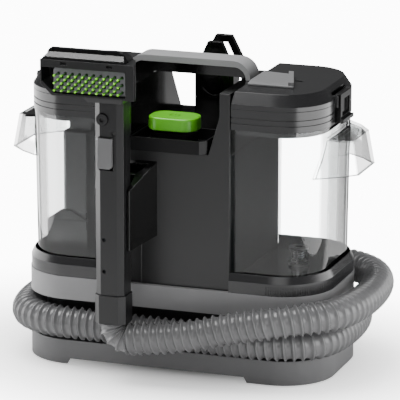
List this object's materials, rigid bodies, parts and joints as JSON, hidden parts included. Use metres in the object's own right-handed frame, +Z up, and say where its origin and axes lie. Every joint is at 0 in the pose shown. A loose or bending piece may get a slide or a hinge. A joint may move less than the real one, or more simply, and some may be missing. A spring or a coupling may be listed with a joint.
{
  "type": "spot extractor",
  "caption": "Portable spot extractor: stadium base, clear tanks at both ends, carry handle over a green button, ribbed hose round the base and an upright brush tool in front.",
  "frame": {"origin": "on the floor, under the centre of the stadium base", "axes": "+Z up, front (tool side) faces -Y, long side along X"},
  "size_m": [0.41, 0.3124, 0.3635],
  "materials": {
    "dark_grey_abs": "satin moulded",
    "black_abs": "semi-gloss moulded",
    "light_grey_abs": "fine texture",
    "plinth_abs": "fine texture",
    "green_abs": "gloss moulded",
    "green_nylon": "moulded bristle",
    "clear_pc": "clear polycarbonate",
    "hose_pvc": "ribbed flexible",
    "rubber": "matt",
    "spring_steel": "drawn wire",
    "steel": "turned",
    "copper_iron": "lacquered",
    "grip_abs": "gloss"
  },
  "bodies": {
    "base": {"base_plinth": "plinth_abs", "rubber_feet": "rubber", "hose_channel_wall": "black_abs", "base_deck": "light_grey_abs", "body_casing": "black_abs", "front_panel": "dark_grey_abs", "rear_cover": "dark_grey_abs", "button_tray": "black_abs", "button_spring": "spring_steel", "power_switch": "black_abs", "handle_cover": "light_grey_abs", "handle_grip": "grip_abs", "rear_tower": "black_abs", "cord_hook_lower": "black_abs", "mains_gland": "rubber", "case_screws": "steel", "wand_cradle": "black_abs", "tool_hook": "green_abs", "left_tank_collar": "dark_grey_abs", "right_tank_collar": "dark_grey_abs", "motor_housing": "steel", "motor_bearings": "steel", "fan_housing": "black_abs", "water_pump": "black_abs", "exhaust_filter": "black_abs", "wand_front_shell": "dark_grey_abs", "wand_rear_shell": "dark_grey_abs", "wand_collar": "dark_grey_abs", "spray_knob": "dark_grey_abs", "trigger_pin": "steel", "hose": "hose_pvc", "hose_elbow": "hose_pvc", "hose_port": "dark_grey_abs"},
    "button": {"power_button": "green_abs"},
    "trigger": {"trigger": "light_grey_abs"},
    "head": {"tool_head": "dark_grey_abs", "nozzle_lip": "clear_pc", "brush_plate": "dark_grey_abs", "bristles": "green_nylon"},
    "hook": {"cord_hook_swivel": "black_abs"},
    "left_tank": {"left_tank_shell": "clear_pc", "separator_tower": "dark_grey_abs"},
    "left_float": {"float_ball": "light_grey_abs"},
    "left_lid": {"left_tank_ring": "dark_grey_abs", "left_tank_lid": "dark_grey_abs", "left_lid_gasket": "rubber"},
    "left_slider": {"left_lid_slider": "light_grey_abs"},
    "left_buckle": {"left_lid_buckle": "black_abs"},
    "right_tank": {"right_tank_shell": "clear_pc", "tank_valve": "black_abs", "valve_spring": "spring_steel"},
    "right_poppet": {"valve_poppet": "black_abs"},
    "right_lid": {"right_tank_ring": "dark_grey_abs", "right_tank_lid": "dark_grey_abs", "right_lid_gasket": "rubber"},
    "right_slider": {"right_lid_slider": "light_grey_abs"},
    "right_buckle": {"right_lid_buckle": "black_abs"},
    "fan": {"motor_shaft": "steel", "motor_rotor": "copper_iron", "fan_impeller": "black_abs"}
  },
  "joints": [
    {"name": "power_button_press", "type": "slide", "parent": "base", "child": "button", "axis": [0, 0, -1], "range_m": [0, 0.003], "stiffness_N_per_m": 600, "springref_m": -0.001, "deforming": ["button_spring"]},
    {"name": "trigger_pull", "type": "hinge", "parent": "base", "child": "trigger", "pos_m": [-0.0425, -0.1384, 0.2647], "axis": [1, 0, 0], "range_deg": [0, 4.5], "stiffness_Nm_per_rad": 0.6, "springref_deg": -5.73},
    {"name": "head_pull_off", "type": "slide", "parent": "base", "child": "head", "axis": [0, 0, 1], "range_m": [0, 0.045]},
    {"name": "cord_hook_turn", "type": "hinge", "parent": "base", "child": "hook", "pos_m": [0.003, 0.09, 0.288], "axis": [0, 1, 0], "range_deg": [0, 180]},
    {"name": "left_tank_lift", "type": "slide", "parent": "base", "child": "left_tank", "axis": [0, 0, 1], "range_m": [0, 0.06]},
    {"name": "left_float_rise", "type": "slide", "parent": "left_tank", "child": "left_float", "axis": [0, 0, 1], "range_m": [0, 0.03]},
    {"name": "left_lid_lift", "type": "slide", "parent": "left_tank", "child": "left_lid", "axis": [0, 0, 1], "range_m": [0, 0.04]},
    {"name": "left_slider_slide", "type": "slide", "parent": "left_lid", "child": "left_slider", "axis": [-1, 0, 0], "range_m": [0, 0.012]},
    {"name": "left_buckle_swing", "type": "hinge", "parent": "left_lid", "child": "left_buckle", "pos_m": [-0.1662, 0, 0.3], "axis": [0, 1, 0], "range_deg": [0, 70]},
    {"name": "right_tank_lift", "type": "slide", "parent": "base", "child": "right_tank", "axis": [0, 0, 1], "range_m": [0, 0.06]},
    {"name": "right_valve_open", "type": "slide", "parent": "right_tank", "child": "right_poppet", "axis": [0, 0, 1], "range_m": [0, 0.0025], "stiffness_N_per_m": 200, "springref_m": -0.002, "deforming": ["valve_spring"]},
    {"name": "right_lid_lift", "type": "slide", "parent": "right_tank", "child": "right_lid", "axis": [0, 0, 1], "range_m": [0, 0.04]},
    {"name": "right_slider_slide", "type": "slide", "parent": "right_lid", "child": "right_slider", "axis": [1, 0, 0], "range_m": [0, 0.012]},
    {"name": "right_buckle_swing", "type": "hinge", "parent": "right_lid", "child": "right_buckle", "pos_m": [0.1662, 0, 0.3], "axis": [0, -1, 0], "range_deg": [0, 70]},
    {"name": "fan_spin", "type": "hinge", "parent": "base", "child": "fan", "pos_m": [0.016, 0.014, 0.15], "axis": [0, 0, 1], "continuous": true}
  ]
}
